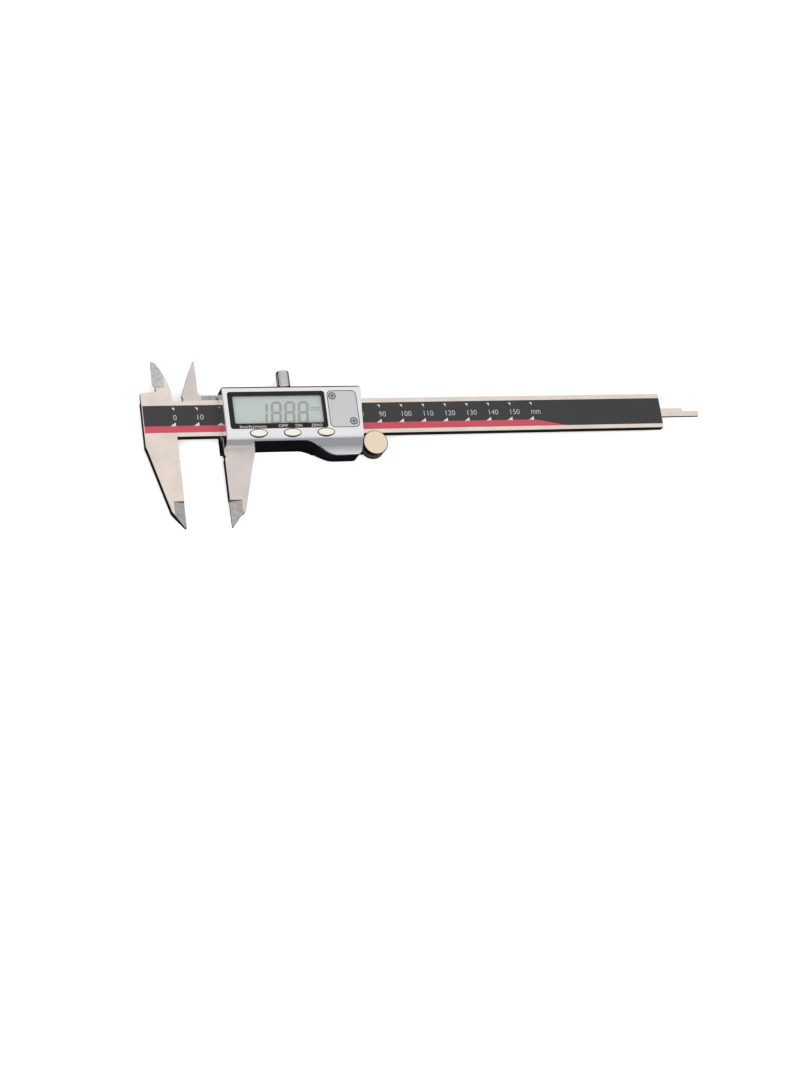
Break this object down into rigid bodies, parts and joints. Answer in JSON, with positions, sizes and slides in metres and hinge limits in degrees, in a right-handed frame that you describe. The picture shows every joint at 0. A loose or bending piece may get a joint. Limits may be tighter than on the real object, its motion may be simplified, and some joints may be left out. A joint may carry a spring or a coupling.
{
  "type": "digital caliper",
  "caption": "Digital caliper with outside and inside jaws, sliding display housing, depth rod, thumb roller, lock screw and push keys.",
  "frame": {"origin": "centre of the bounding box in X and Y, at its lowest point in Z: the caliper lies on its back", "axes": "+X along the beam from the fixed jaw to the depth rod, +Y from the outside jaws to the inside jaws, +Z out of the display"},
  "size_m": [0.2542, 0.0748, 0.0152],
  "materials": {
    "steel": "fine ground stainless steel, warm satin",
    "copper_track": "gold-plated track",
    "label": "charcoal printed film with a red lower stripe",
    "stop_plate": "satin steel",
    "screw_steel": "bright steel screw",
    "brass": "satin brass",
    "set_screw": "blackened steel",
    "cover_silver": "satin silver lacquer on moulded plastic",
    "bezel": "dark brown-black gloss",
    "lens": "clear window",
    "lcd": "grey-green liquid crystal glass",
    "elastomer": "matt black elastomer",
    "board": "green circuit board",
    "switch": "black tact switch",
    "cell": "nickel-plated can",
    "spring_contact": "spring contact",
    "cell_cover": "satin silver lacquer",
    "rear_silver": "satin silver lacquer on moulded plastic",
    "roller": "satin beige metal",
    "knob": "bright knurled steel",
    "key": "ivory satin"
  },
  "bodies": {
    "beam": {"main_beam": "steel", "scale_strip": "copper_track", "scale_label": "label", "end_stop": "stop_plate", "stop_screw_lower": "screw_steel", "stop_screw_upper": "screw_steel"},
    "slider": {"slider_frame": "steel", "gib_strip": "brass", "gib_screw_left": "set_screw", "gib_screw_right": "set_screw", "depth_rod": "steel", "rod_screw": "screw_steel", "front_cover": "cover_silver", "display_bezel": "bezel", "display_lens": "lens", "lcd_panel": "lcd", "contact_strip": "elastomer", "circuit_board": "board", "key_switches": "switch", "coin_cell": "cell", "cell_contact": "spring_contact", "battery_cover": "cell_cover", "battery_screws": "screw_steel", "rear_cover": "rear_silver", "rear_screws": "screw_steel", "roller_bracket": "stop_plate", "roller_axle": "screw_steel"},
    "thumb_roller": {"thumb_roller": "roller"},
    "lock_pad": {"lock_pad": "brass"},
    "lock_screw": {"lock_screw": "knob"},
    "unit_key": {"unit_key": "key"},
    "power_key": {"power_key": "key"},
    "zero_key": {"zero_key": "key"}
  },
  "joints": [
    {"name": "slider_slide", "type": "slide", "parent": "beam", "child": "slider", "axis": [1, 0, 0], "range_m": [-0.0192, 0.1308]},
    {"name": "roller_turn", "type": "hinge", "parent": "slider", "child": "thumb_roller", "pos_m": [-0.0279, -0.00215, 0.006], "axis": [0, 0, 1], "continuous": true},
    {"name": "lock_travel", "type": "slide", "parent": "slider", "child": "lock_pad", "axis": [0, 1, 0], "range_m": [-0.0000933, 0.0007]},
    {"name": "lock_turn", "type": "hinge", "parent": "lock_pad", "child": "lock_screw", "pos_m": [-0.0644, 0.0246, 0.00625], "axis": [0, 1, 0], "range_deg": [-48, 360.01]},
    {"name": "unit_key_press", "type": "slide", "parent": "slider", "child": "unit_key", "axis": [0, 0, -1], "range_m": [0, 0.0004], "stiffness_N_per_m": 1500, "springref_m": -0.0004},
    {"name": "power_key_press", "type": "slide", "parent": "slider", "child": "power_key", "axis": [0, 0, -1], "range_m": [0, 0.0004], "stiffness_N_per_m": 1500, "springref_m": -0.0004},
    {"name": "zero_key_press", "type": "slide", "parent": "slider", "child": "zero_key", "axis": [0, 0, -1], "range_m": [0, 0.0004], "stiffness_N_per_m": 1500, "springref_m": -0.0004}
  ],
  "couplings": [
    {"joint": "roller_turn", "follows": "slider_slide", "rad_per_m": 210.53},
    {"joint": "lock_turn", "follows": "lock_travel", "rad_per_m": 8976}
  ]
}
